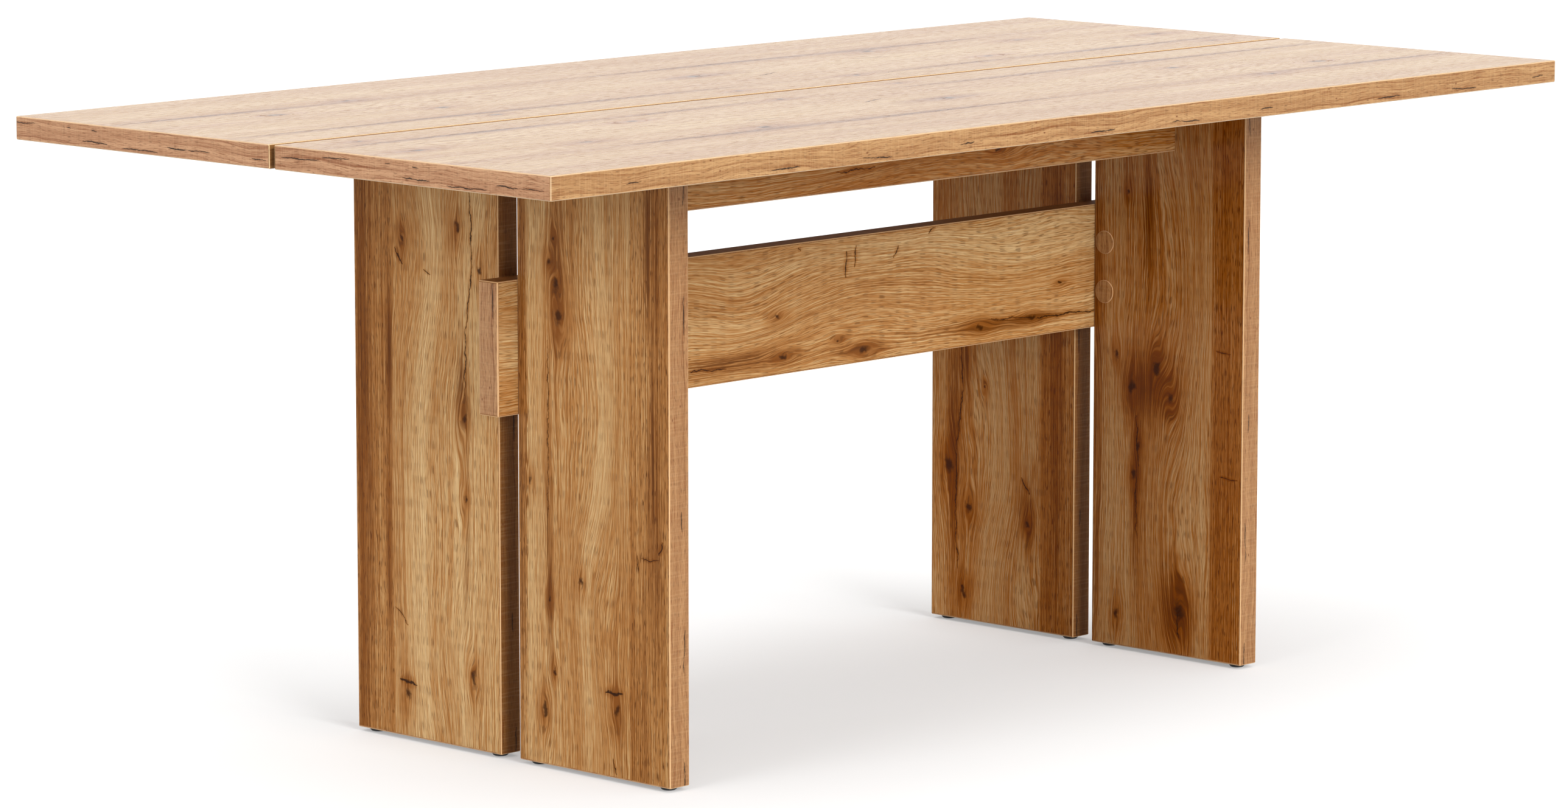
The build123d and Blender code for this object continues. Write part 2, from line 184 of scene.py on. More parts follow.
def draw_cracks(node, flat, wander, cracks):
    """Lays cracks over a print; gives where it is split, and where it is stained beside the splits."""
    split = 0.0
    halo = 0.0
    for start, end, width in cracks:
        gap = node("ShaderNodeGroup", {"Flat": flat, "Wander": wander, "Start": (*start, 0),
                                       "End": (*end, 0), "Width": width}, node_tree=crack)
        split = node("ShaderNodeMath", {0: gap.outputs["Split"], 1: split}, operation="MAXIMUM")
        halo = node("ShaderNodeMath", {0: gap.outputs["Halo"], 1: halo}, operation="MAXIMUM")
    return split, halo


def print_inks(node, shade, inks):
    """Prints inks over a shade one after the other, each a colour, where it covers and how strongly."""
    for ink, cover, strength in inks:
        share = node("ShaderNodeMath", {0: cover, 1: strength}, operation="MULTIPLY")
        shade = node("ShaderNodeMix", {"Factor": share, "A": shade, "B": linear(ink)}, data_type="RGBA")
    return shade


RING_PITCH = 3.3
PAINTED_SHADE_HUE = 0.491
SHEET_SALT = 13.7
LAYER_SALT = 5.3


def oak_decor(board, along, across, through, shown, sheet, turn=1, knots=(), cracks=(), flames=(), hearts=(),
              strips=(), ior=1.14, paleness_and_painted_light=0.13, figure=1.0, shade_saturation=1.0):
    """Melamine-faced board with an oak decor, pressed on an embossed plate.

    The eye gets a golden print with arched grain, dark hearts and small knots, pores that are a little
    sunk and duller, and a satin sheen. Places are (along, across) the grain in millimetres from the
    board's middle on the face that looks to the shown side; the other face is turned end for end. Turn is
    -1 where the print lies the other way round. Figure is the strength of the broad streaks, and the IOR
    sets how much of the white studio the resin mirrors. Shade_saturation above 1 prints the colour richer
    and warmer: painted shade for boards that stand in shade. Paleness_and_painted_light lifts the whole
    print; at 0.13 it is the print's own paleness, and above that it is painted light.
    """
    material, node = new_material(f"oak_decor_{board}")
    low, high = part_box(board)
    salt = sheet * SHEET_SALT

    place = node("ShaderNodeTexCoord").outputs["Object"]
    centred = node("ShaderNodeVectorMath", {0: place, 1: (low + high) / 2}, operation="SUBTRACT")
    axes = node("ShaderNodeSeparateXYZ", {0: centred})
    face = node("ShaderNodeMath", {0: axes.outputs[through]}, operation="SIGN")
    turned = node("ShaderNodeMath", {0: axes.outputs[along], 1: face}, operation="MULTIPLY")
    print_place = node("ShaderNodeCombineXYZ", {"X": turned, "Y": axes.outputs[across]})
    flat = node("ShaderNodeVectorMath", {0: print_place, 1: (shown * turn / MM, turn / MM, 0)},
                operation="MULTIPLY")
    flat_axes = node("ShaderNodeSeparateXYZ", {0: flat})
    straight = flat_axes.outputs["Y"]

    wander_noise = node("ShaderNodeTexNoise", {"Vector": flat, "Scale": 1 / 20, "Detail": 3.0,
                                               "Roughness": 0.6}, noise_dimensions="2D")
    wander = node("ShaderNodeVectorMath", {0: wander_noise.outputs["Color"], 1: (0.5, 0.5, 0.5)},
                  operation="SUBTRACT")

    # The grain's own coordinate across the board: straight, then bent by slow waves, flames and knots
    ring = straight
    for size, bend in (((460, 120, 1), 32), ((150, 55, 1), 9), ((38, 14, 1), 2.0)):
        wave = node("ShaderNodeGroup", {"Flow": flat, "Size": size, "Salt": (salt, bend, 0), "Detail": 1.0},
                    node_tree=streaks)
        ring = node("ShaderNodeMath", {0: wave.outputs["Raw"], 1: bend, 2: ring}, operation="MULTIPLY_ADD")
    for u, v, length, width, height in flames:
        hill = node("ShaderNodeGroup", {"Flat": flat, "Place": (u, v, 0), "Reach": (length, width, 1)},
                    node_tree=swell)
        ring = node("ShaderNodeMath", {0: hill.outputs["Fall"], 1: height, 2: ring},
                    operation="MULTIPLY_ADD")
    # In a quarter-sawn strip the grain runs straight and is darker
    strip = 0.0
    for near, far in strips:
        off = node("ShaderNodeMath", {0: straight, 1: (near + far) / 2}, operation="SUBTRACT")
        off = node("ShaderNodeMath", {0: off}, operation="ABSOLUTE")
        half = abs(far - near) / 2
        within = node("ShaderNodeMapRange", {"Value": off, "From Min": half + 3, "From Max": half - 1},
                      interpolation_type="SMOOTHSTEP")
        strip = node("ShaderNodeMath", {0: within, 1: strip}, operation="MAXIMUM")
    ring = node("ShaderNodeMix", {"Factor": strip, "A": ring, "B": straight}, data_type="FLOAT")
    stain = 0.0
    dark_heart = 0.0
    for u, v, size in knots:
        spot = node("ShaderNodeGroup", {"Flat": flat, "Wander": wander, "Place": (u, v, 0), "Size": size},
                    node_tree=knot)
        ring = node("ShaderNodeMath", {0: spot.outputs["Push"], 1: -0.9, 2: ring}, operation="MULTIPLY_ADD")
        stain = node("ShaderNodeMath", {0: spot.outputs["Stain"], 1: stain}, operation="MAXIMUM")
        dark_heart = node("ShaderNodeMath", {0: spot.outputs["Heart"], 1: dark_heart}, operation="MAXIMUM")
    flow = node("ShaderNodeCombineXYZ", {"X": flat_axes.outputs["X"], "Y": ring})

    heart_zone = 0.0
    for u, v, length, width in hearts:
        hill = node("ShaderNodeGroup", {"Flat": flat, "Place": (u, v, 0), "Reach": (length, width, 1)},
                    node_tree=swell)
        heart_zone = node("ShaderNodeMath", {0: hill.outputs["Fall"], 1: heart_zone}, operation="MAXIMUM")
    split, halo = draw_cracks(node, flat, wander, cracks)

    # Layers of the print: length and width of a streak in millimetres, the noise's detail and where it
    # shows. Real pores are 0.3 mm wide; they are drawn 0.7 mm wide, because finer ones would not show.
    layers = {}
    for name, size, detail, bounds in (("broad", (1300, 60, 1), 0.0, (0.25, 0.75)),
                                       ("lines", (640, 4.2, 1), 1.0, (0.28, 0.72)),
                                       ("ridges", (240, 1.8, 1), 1.0, (0.28, 0.72)),
                                       ("fibres", (34, 1.2, 1), 1.0, (0.32, 0.68)),
                                       ("ring_zones", (240, 34, 1), 1.0, (0.34, 0.62)),
                                       ("pores", (15, 0.7, 1), 0.0, (0.58, 0.70)),
                                       ("pore_zones", (260, 30, 1), 1.0, (0.05, 0.45)),
                                       ("dashes", (16, 1.6, 1), 1.0, (0.62, 0.74)),
                                       ("dark", (600, 13, 1), 2.0, (0.62, 0.78))):
        layers[name] = node("ShaderNodeGroup", {"Flow": flow, "Size": size, "Detail": detail,
                                                "Salt": (salt + len(layers) * LAYER_SALT, salt, 0),
                                                "Low": bounds[0], "High": bounds[1]}, node_tree=streaks)
    # Growth rings: fine ridges at an even pitch across the flow, stronger in some places than in others
    uneven = node("ShaderNodeMath", {0: layers["lines"].outputs["Raw"], 1: 5.0, 2: ring},
                  operation="MULTIPLY_ADD")
    phase = node("ShaderNodeMath", {0: uneven, 1: 2 * math.pi / RING_PITCH}, operation="MULTIPLY")
    ridge = node("ShaderNodeMath", {0: phase}, operation="SINE")
    ridge = node("ShaderNodeMath", {0: ridge, 1: layers["ring_zones"]}, operation="MULTIPLY")
    tone = node("ShaderNodeMath", {0: ridge, 1: 0.11, 2: paleness_and_painted_light}, operation="MULTIPLY_ADD")
    for layer, share in (("broad", 0.24 * figure), ("lines", 0.13), ("ridges", 0.18), ("fibres", 0.20)):
        tone = node("ShaderNodeMath", {0: layers[layer], 1: share, 2: tone}, operation="MULTIPLY_ADD")
    for cover, share in ((stain, -0.32), (heart_zone, -0.30), (strip, -0.20), (halo, -0.18)):
        tone = node("ShaderNodeMath", {0: cover, 1: share, 2: tone}, operation="MULTIPLY_ADD")
    ground = node("ShaderNodeValToRGB", {"Fac": tone})
    ramp = ground.color_ramp.elements
    ramp[0].position, ramp[0].color = 0.0, linear("#7a4719")
    ramp[1].position, ramp[1].color = 1.0, linear("#d2b78a")
    for position, colour in ((0.35, "#a06f3d"), (0.65, "#b99667")):
        ramp.new(position).color = linear(colour)

    pores = node("ShaderNodeMath", {0: layers["pores"], 1: layers["pore_zones"]}, operation="MULTIPLY")
    dashes = node("ShaderNodeMath", {0: layers["dashes"], 1: strip}, operation="MULTIPLY")
    heart_lines = node("ShaderNodeMath", {0: layers["ridges"].outputs["Raw"], 1: -3.0, 2: 0.35},
                       operation="MULTIPLY_ADD", use_clamp=True)
    heart_streak = node("ShaderNodeMath", {0: heart_lines, 1: heart_zone}, operation="MULTIPLY")
    shade = print_inks(node, ground, [("#693c17", layers["dark"], 0.22 * figure),
                                      ("#4a260b", heart_streak, 0.80), ("#4f2c0e", pores, 0.52),
                                      ("#482308", dashes, 0.72), ("#331804", dark_heart, 0.88),
                                      ("#200d02", split, 0.92)])
    # Painted shade: boards that stand in shade get a richer, warmer print
    if shade_saturation != 1.0:
        shade = node("ShaderNodeHueSaturation", {"Hue": PAINTED_SHADE_HUE, "Saturation": shade_saturation, "Color": shade})

    sunk = node("ShaderNodeMath", {0: pores, 1: split}, operation="MAXIMUM")
    height = node("ShaderNodeMath", {0: sunk, 1: -1.0, 2: ridge}, operation="MULTIPLY_ADD")
    emboss = node("ShaderNodeBump", {"Height": height, "Strength": 0.25, "Distance": 0.12 * MM})
    sheen = node("ShaderNodeMapRange", {"Value": sunk, "To Min": 0.14, "To Max": 0.34})
    melamine = node("ShaderNodeBsdfPrincipled", {"Base Color": shade, "Roughness": sheen, "IOR": ior,
                                                 "Normal": emboss})
    node("ShaderNodeOutputMaterial", {"Surface": melamine})
    finish_nodes([board], material)


# Painted shade: the right legs and the rails stand in the top's shade, so their print is drawn richer and
# warmer, and the right legs' broad pale streaks are weaker
PAINTED_SHADE_SATURATION = 1.08
PAINTED_SHADE_SHEET = {"shade_saturation": PAINTED_SHADE_SATURATION, "figure": 0.7}
LEG_FIGURES = {
    "left_front": {
        "sheet": 1, "strips": [(-128, -61), (111, 128)],
        "knots": [(262, 63, 4), (233, 73, 4), (206, 60, 6), (168, 55, 7), (-29, 104, 4), (-166, 73, 4),
                  (-301, 83, 6), (-253, 65, 3), (-141, 20, 4), (-286, -38, 6)],
        "cracks": [((147, 74), (-72, 75), 1.4), ((-98, -72), (-116, -74), 2.0),
                   ((-78, -114), (-94, -107), 3.0), ((-101, -79), (-101, -108), 1.6),
                   ((-266, -18), (-265, -50), 5.5), ((-345, -30), (-362, -39), 1.8)],
        "flames": [(20, 0, 260, 48, 26), (-180, -5, 120, 40, -22)],
        "hearts": [(215, 59, 75, 9), (-90, 74, 140, 5), (250, -95, 120, 14), (-20, -100, 190, 12),
                   (20, 122, 300, 10)]},
    "left_rear": {
        "sheet": 2, "strips": [(61, 128)],
        "knots": [(257, -55, 6), (213, -94, 5), (31, -66, 6), (-64, -68, 4), (-282, -79, 6), (239, 41, 4),
                  (-315, 36, 6)],
        "cracks": [((305, -78), (215, -80), 2.6), ((218, -81), (147, -71), 2.6),
                   ((150, -70), (60, -66), 2.4), ((228, 54), (206, 39), 3.0), ((204, 4), (198, -9), 2.0),
                   ((-210, 57), (-230, 34), 1.6), ((-298, 50), (-302, 20), 5.5)],
        "flames": [(200, 10, 130, 42, 23), (-40, 5, 260, 46, -24), (-64, -66, 90, 12, 8)],
        "hearts": [(55, -62, 60, 10), (-60, -66, 110, 6), (0, 112, 330, 13), (100, 64, 70, 5),
                   (-130, 66, 90, 4)]},
    "right_rear": {
        "sheet": 3, **PAINTED_SHADE_SHEET, "strips": [(-128, -69)],
        "knots": [(-162, 96, 9), (-216, 58, 6), (-328, 68, 5), (-54, 31, 3), (-225, -45, 5)],
        "cracks": [((0, 73), (-60, 69), 2.4), ((-57, 69), (-136, 81), 2.8), ((-134, 81), (-225, 82), 2.8),
                   ((-220, 82), (-300, 78), 2.0), ((-165, -33), (-188, -49), 3.2)],
        "flames": [(-148, 13, 130, 40, 23), (-300, -10, 110, 36, -20)],
        "hearts": [(-10, 60, 40, 12), (-150, 86, 140, 9), (-215, -45, 50, 16), (-20, -95, 200, 10)]},
    "right_front": {
        "sheet": 4, **PAINTED_SHADE_SHEET, "strips": [(-128, -74)],
        "knots": [(226, 67, 4), (2, 18, 8), (15, 86, 5), (-98, 47, 4), (-141, 55, 5), (-309, -23, 10),
                  (-325, 84, 6), (-26, 58, 8), (-31, -5, 7)],
        "cracks": [((-60, 52), (-130, 48), 2.0), ((-140, 52), (-225, 50), 1.8),
                   ((-312, -20), (-345, -22), 2.6), ((-128, -88), (-128, -120), 1.4),
                   ((35, -80), (32, -105), 1.6)],
        "flames": [(90, -20, 170, 40, 23), (-200, 0, 130, 36, -20)],
        "hearts": [(190, 33, 75, 9), (-25, 30, 40, 45), (-140, 51, 110, 8), (-310, -20, 45, 30),
                   (0, 118, 330, 9)]},
}
for end in ENDS:
    for side in SIDES:
        oak_decor(f"leg_{end}_{side}", "Z", "Y", "X", shown=-1, **LEG_FIGURES[f"{end}_{side}"])

# Edge bands of the leg panels: printed ABS strip, 2 mm thick, glued on hot and milled round along both
# arrises. The milling cuts through the print, so a paler line of plastic runs along every edge.
PRINT_REPEAT = 545
PRINT_CRACKS = [((-88, -8.6), (-42, -7.4), 2.4), ((62, -6.6), (84, -7.6), 1.6),
                ((82, -8.2), (112, -9.0), 2.2), ((228, -4.4), (252, -3.2), 2.2)]
PRINT_KNOTS = [(-185, 11, 1.6), (70, -1, 1.8), (-170, -2, 1.5)]
BAND_RING_PITCH = 9.5
BAND_LAYER_SALT = 4.7
BAND_SALT = 3.1
FAR_SIDE_SHIFT = 77.0


def oak_band(name, along, across, through, ground, light, middle=0, cracks=PRINT_CRACKS, knots=PRINT_KNOTS,
             roughness=0.34, arris_colour="#d2ab7e", arris_down=1.0):
    """ABS edge band with an oak print, milled along its arrises.

    The eye gets wavy rings with a soft dark side, thin reddish lines, short black checks that come back
    with each turn of the printing cylinder, faint saw marks across, and a paler line of bare plastic on
    each arris. Where arris_down is 0, the line is kept only on arrises that face up or toward the ends and
    is left off those that face down: a painted highlight on the lit arris. Checks and knots are placed in
    millimetres along and across the band's own middle, which lies middle millimetres off the table's.
    """
    material, node = new_material(f"oak_band_{name}")
    place = node("ShaderNodeTexCoord").outputs["Object"]
    scaled = node("ShaderNodeVectorMath", {0: place, "Scale": 1 / MM}, operation="SCALE")
    axes = node("ShaderNodeSeparateXYZ", {0: scaled})
    far_side = node("ShaderNodeMath", {0: axes.outputs[through]}, operation="SIGN")
    run = node("ShaderNodeMath", {0: far_side, 1: FAR_SIDE_SHIFT, 2: axes.outputs[along]},
               operation="MULTIPLY_ADD")
    width = axes.outputs[across]
    if middle:
        width = node("ShaderNodeMath", {0: width}, operation="ABSOLUTE")
        width = node("ShaderNodeMath", {0: width, 1: middle}, operation="SUBTRACT")
    flat = node("ShaderNodeCombineXYZ", {"X": run, "Y": width})

    ring = width
    for size, bend in (((190, 70, 1), 17), ((60, 30, 1), 4)):
        wave = node("ShaderNodeGroup", {"Flow": flat, "Size": size, "Salt": (bend, 0, 0), "Detail": 1.0},
                    node_tree=streaks)
        ring = node("ShaderNodeMath", {0: wave.outputs["Raw"], 1: bend, 2: ring}, operation="MULTIPLY_ADD")
    flow = node("ShaderNodeCombineXYZ", {"X": run, "Y": ring})
    layers = {}
    for layer, coordinate, size, bounds in (("zones", flow, (260, 9, 1), (0.30, 0.62)),
                                            ("broad", flow, (300, 9, 1), (0.28, 0.72)),
                                            ("lines", flow, (46, 1.1, 1), (0.30, 0.70)),
                                            ("wisps", flow, (34, 1.2, 1), (0.60, 0.70)),
                                            ("ticks", flow, (9, 0.9, 1), (0.58, 0.70)),
                                            ("saw", flat, (2.4, 48, 1), (0.46, 0.74))):
        layers[layer] = node("ShaderNodeGroup", {"Flow": coordinate, "Size": size, "Detail": 1.0,
                                                 "Salt": (len(layers) * BAND_LAYER_SALT, BAND_SALT, 0),
                                                 "Low": bounds[0], "High": bounds[1]}, node_tree=streaks)
    # Each ring is dark where it starts and pales to the next
    ring_share = node("ShaderNodeMath", {0: ring, 1: BAND_RING_PITCH}, operation="DIVIDE")
    ring_share = node("ShaderNodeMath", {0: ring_share}, operation="FRACT")
    paling = node("ShaderNodeMapRange", {"Value": ring_share, "From Min": 0.04, "From Max": 0.45,
                                         "To Min": 1.0, "To Max": 0.0}, interpolation_type="SMOOTHSTEP")
    onset = node("ShaderNodeMapRange", {"Value": ring_share, "From Min": 0.0, "From Max": 0.05})
    ring_line = node("ShaderNodeMath", {0: paling, 1: onset}, operation="MULTIPLY")
    ring_line = node("ShaderNodeMath", {0: ring_line, 1: layers["zones"]}, operation="MULTIPLY")

    # Checks and knots repeat along the strip
    turned = node("ShaderNodeMath", {0: run, 1: PRINT_REPEAT / 2, 2: -PRINT_REPEAT / 2}, operation="WRAP")
    folded = node("ShaderNodeCombineXYZ", {"X": turned, "Y": width})
    wander_noise = node("ShaderNodeTexNoise", {"Vector": flat, "Scale": 1 / 15, "Detail": 3.0,
                                               "Roughness": 0.6}, noise_dimensions="2D")
    wander = node("ShaderNodeVectorMath", {0: wander_noise.outputs["Color"], 1: (0.4, 0.4, 1.0),
                                           2: (-0.2, -0.2, -0.5)}, operation="MULTIPLY_ADD")
    split, halo = draw_cracks(node, folded, wander, cracks)
    dark_heart = 0.0
    for u, v, girth in knots:
        spot = node("ShaderNodeGroup", {"Flat": folded, "Wander": (0, 0, 0), "Place": (u, v, 0),
                                        "Size": girth}, node_tree=knot)
        dark_heart = node("ShaderNodeMath", {0: spot.outputs["Heart"], 1: dark_heart}, operation="MAXIMUM")

    tone = node("ShaderNodeMath", {0: ring_line, 1: -0.55, 2: 0.36}, operation="MULTIPLY_ADD")
    for cover, share in ((layers["broad"], 0.36), (layers["lines"], 0.30), (halo, -0.18)):
        tone = node("ShaderNodeMath", {0: cover, 1: share, 2: tone}, operation="MULTIPLY_ADD")
    shade = node("ShaderNodeMix", {"Factor": tone, "A": linear(ground), "B": linear(light)},
                 data_type="RGBA")

    normal = node("ShaderNodeNewGeometry").outputs["Normal"]
    unsigned = node("ShaderNodeVectorMath", {0: normal}, operation="ABSOLUTE")
    size = node("ShaderNodeSeparateXYZ", {0: unsigned})
    flatter = node("ShaderNodeMath", {0: size.outputs["X"], 1: size.outputs["Y"]}, operation="MAXIMUM")
    flattest = node("ShaderNodeMath", {0: flatter, 1: size.outputs["Z"]}, operation="MAXIMUM")
    arris = node("ShaderNodeMapRange", {"Value": flattest, "From Min": 0.995, "From Max": 0.93},
                 interpolation_type="SMOOTHSTEP")
    # Painted highlight: where arris_down is below 1, the pale line is dimmed on arrises that face down or
    # along Y and kept on those that face up or toward the ends
    upward = node("ShaderNodeSeparateXYZ", {0: normal}).outputs["Z"]
    up_or_end_facing = node("ShaderNodeMath", {0: upward, 1: size.outputs["X"]}, operation="MAXIMUM")
    lit_side = node("ShaderNodeMapRange", {"Value": up_or_end_facing, "From Min": 0.50, "From Max": 0.80,
                                           "To Min": arris_down})
    arris = node("ShaderNodeMath", {0: arris, 1: lit_side}, operation="MULTIPLY")
    shade = print_inks(node, shade, [("#6e3814", layers["wisps"], 0.55), ("#4a2810", layers["ticks"], 0.45),
                                     ("#e2c295", layers["saw"], 0.06), ("#5e2b0e", dark_heart, 0.75),
                                     ("#1c0f06", split, 0.95), (arris_colour, arris, 0.75)])
    emboss = node("ShaderNodeBump", {"Height": layers["ticks"], "Strength": 0.25, "Distance": 0.1 * MM},
                  invert=True)
    plastic = node("ShaderNodeBsdfPrincipled", {"Base Color": shade, "Roughness": roughness, "IOR": 1.25,
                                                "Normal": emboss})
    node("ShaderNodeOutputMaterial", {"Surface": plastic})
    return material


def span(name, axis):
    """Where a CAD node begins and ends along an axis, in whole millimetres."""
    low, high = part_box(name)
    return round(low[axis] / MM), round(high[axis] / MM)


LEG_BAND = ("#7c5230", "#a17850")
# Painted shade: the bands that face into the gap between the leg panels, and the stretcher's upper and lower
# edges, are printed darker than the other bands
LEG_GAP_BAND_SHADED = ("#633a17", "#83562a")
GAP_ROUGHNESS = 0.65
LEG_INNER, LEG_OUTER = span("leg_right_rear", 0)
LEG_MIDDLE = (LEG_INNER + LEG_OUTER) / 2
legs = [f"leg_{end}_{side}" for end in ENDS for side in SIDES]
finish_nodes([f"{leg}_band_outer" for leg in legs],
             oak_band("leg_edges", "Z", "X", "Y", *LEG_BAND, middle=LEG_MIDDLE))
finish_nodes([f"{leg}_band_gap" for leg in legs],
             oak_band("leg_gap_edges", "Z", "X", "Y", *LEG_GAP_BAND_SHADED, middle=LEG_MIDDLE,
                      roughness=GAP_ROUGHNESS))
finish_nodes([f"{leg}_band_foot" for leg in legs],
             oak_band("leg_feet", "Y", "X", "Z", *LEG_BAND, middle=LEG_MIDDLE))

# Stretcher: one board on edge that runs through the gap between the leg panels and stands proud of them,
# of the same decor-faced chipboard, banded on all four edges.
oak_decor("stretcher", "X", "Z", "Y", shown=-1, sheet=5,
          knots=[(-81, -58, 5), (66, -65, 6), (19, -47, 3), (282, -58, 6), (378, -55, 5), (434, -17, 3),
                 (-91, -7, 4)],
          cracks=[((32, 62), (32, 28), 3.0), ((51, 68), (47, 42), 2.2), ((129, 60), (117, 46), 2.2),
                  ((182, 72), (196, 77), 2.2), ((-48, 69), (-56, 74), 2.0), ((386, -58), (505, -57), 3.0),
                  ((300, -50), (386, -56), 1.8), ((-245, -60), (-180, -63), 2.0)],
          flames=[(-150, 10, 90, 60, 22), (120, 5, 130, 50, -14), (330, 20, 150, 50, 14)],
          hearts=[(330, -55, 140, 10), (-170, -58, 110, 8), (60, -60, 60, 6)])
STRETCHER_BAND = ("#845839", "#ae865e")
finish_nodes(["stretcher_band_left", "stretcher_band_right"],
             oak_band("stretcher_ends", "Z", "Y", "X", *STRETCHER_BAND))
# Painted shade: the stretcher's upper and lower edges take the darker gap print, as they lie under the top
finish_nodes(["stretcher_band_upper", "stretcher_band_lower"],
             oak_band("stretcher_edges", "X", "Y", "Z", *LEG_GAP_BAND_SHADED, roughness=GAP_ROUGHNESS))

# Cam drums: die-cast zinc, sunk in the leg panels and in the rails. Half a turn of a screwdriver in the
# cross slot draws the bolt's head in; the casting skin is dull grey and faintly mottled.


def metal(name, colour, worn, roughness, grain):
    """Bare or plated metal: one tint with a faint mottle, and a sheen that varies over grain millimetres."""
    material, node = new_material(name)
    place = node("ShaderNodeTexCoord").outputs["Object"]
    mottle = node("ShaderNodeTexNoise", {"Vector": place, "Scale": 1 / (grain * MM), "Detail": 3.0})
    shade = node("ShaderNodeMix", {"Factor": mottle, "A": linear(colour), "B": linear(worn)},
                 data_type="RGBA")
    sheen = node("ShaderNodeMapRange", {"Value": mottle, "From Min": 0.3, "From Max": 0.7,
                                        "To Min": roughness - 0.08, "To Max": roughness + 0.08})
    skin = node("ShaderNodeBump", {"Height": mottle, "Strength": 0.15, "Distance": 0.05 * MM})
    surface = node("ShaderNodeBsdfPrincipled", {"Base Color": shade, "Metallic": 1.0, "Roughness": sheen,
                                                "Normal": skin})
    node("ShaderNodeOutputMaterial", {"Surface": surface})
    return material


zinc = metal("die_cast_zinc_dull", "#9a9c9f", "#7f8184", 0.48, grain=1.5)
finish_nodes([f"cam_{end}_{side}_{level}" for end in ENDS for side in SIDES for level in ("upper", "lower")]
             + [f"rail_cam_{side}_{end}" for side in SIDES for end in ENDS], zinc)

# Stretcher bolts: turned steel pins with a head at both ends, zinc-plated bright. Each goes through the
# stretcher and is held by a cam of the front panel and one of the rear panel.
steel = metal("zinc_plated_steel_bright", "#c9cbce", "#b4b7bb", 0.30, grain=4.0)
finish_nodes(["stretcher_bolts"], steel)

# Cover caps of the leg panels: moulded plastic discs with a rounded rim and the decor's print, pressed over
# the cam drums on the panels' inner faces, two to a panel.

# A drum with its far rim rounded, standing on the origin along +Z
rounded_drum, given, result, node = new_group(
    "rounded_drum", "GeometryNodeTree", {"Diameter": "Float", "Height": "Float", "Round": "Float"},
    {"Mesh": "Geometry"})
radius = node("ShaderNodeMath", {0: given["Diameter"], 1: 0.5}, operation="MULTIPLY")
lift = node("ShaderNodeMath", {0: given["Height"], 1: 0.5}, operation="MULTIPLY")
blank = node("GeometryNodeMeshCylinder", {"Vertices": 48, "Side Segments": 14, "Fill Segments": 1,
                                          "Radius": radius, "Depth": given["Height"]})
half_up = node("ShaderNodeCombineXYZ", {"Z": lift})
stood = node("GeometryNodeTransform", {"Geometry": blank, "Translation": half_up})
place = node("GeometryNodeInputPosition")
level = node("ShaderNodeSeparateXYZ", {0: place}).outputs["Z"]
shoulder = node("ShaderNodeMath", {0: given["Height"], 1: given["Round"]}, operation="SUBTRACT")
above = node("ShaderNodeMath", {0: level, 1: shoulder}, operation="SUBTRACT")
above = node("ShaderNodeMath", {0: above, 1: 0.0}, operation="MAXIMUM")
above_square = node("ShaderNodeMath", {0: above, 1: above}, operation="MULTIPLY")
round_square = node("ShaderNodeMath", {0: given["Round"], 1: given["Round"]}, operation="MULTIPLY")
left_square = node("ShaderNodeMath", {0: round_square, 1: above_square}, operation="SUBTRACT")
left_square = node("ShaderNodeMath", {0: left_square, 1: 0.0}, operation="MAXIMUM")
reach = node("ShaderNodeMath", {0: left_square}, operation="SQRT")
core = node("ShaderNodeMath", {0: radius, 1: given["Round"]}, operation="SUBTRACT")
wide = node("ShaderNodeMath", {0: core, 1: reach}, operation="ADD")
narrowing = node("ShaderNodeMath", {0: wide, 1: radius}, operation="DIVIDE")
scale = node("ShaderNodeCombineXYZ", {"X": narrowing, "Y": narrowing, "Z": 1.0})
shaped = node("ShaderNodeVectorMath", {0: place, 1: scale}, operation="MULTIPLY")
drum = node("GeometryNodeSetPosition", {"Geometry": stood, "Position": shaped})
smooth = node("GeometryNodeSetShadeSmooth", {"Geometry": drum, "Shade Smooth": True})
rounded_drum.links.new(smooth.outputs[0], result["Mesh"])

# Stands a piece on every point along the point's facing, as plain mesh with its material
stand_on, given, result, node = new_group(
    "stand_on_points", "GeometryNodeTree",
    {"Points": "Geometry", "Piece": "Geometry", "Material": "Material"}, {"Pieces": "Geometry"})
facing = node("GeometryNodeInputNamedAttribute", {"Name": "facing"}, data_type="FLOAT_VECTOR")
turned = node("FunctionNodeAlignRotationToVector", {"Vector": facing}, axis="Z")
stood = node("GeometryNodeInstanceOnPoints", {"Points": given["Points"], "Instance": given["Piece"],
                                              "Rotation": turned})
plain = node("GeometryNodeRealizeInstances", {"Geometry": stood})
clad = node("GeometryNodeSetMaterial", {"Geometry": plain, "Material": given["Material"]})
stand_on.links.new(clad.outputs[0], result["Pieces"])

# Round pieces of one size: cover caps and glides
round_pieces, given, result, node = new_group(
    "round_pieces", "GeometryNodeTree",
    {"Points": "Geometry", "Diameter": "Float", "Height": "Float", "Round": "Float", "Material": "Material"},
    {"Pieces": "Geometry"})
drum = node("GeometryNodeGroup", {size: given[size] for size in ("Diameter", "Height", "Round")},
            node_tree=rounded_drum)
pieces = node("GeometryNodeGroup", {"Points": given["Points"], "Piece": drum,
                                    "Material": given["Material"]}, node_tree=stand_on)
round_pieces.links.new(pieces.outputs[0], result["Pieces"])


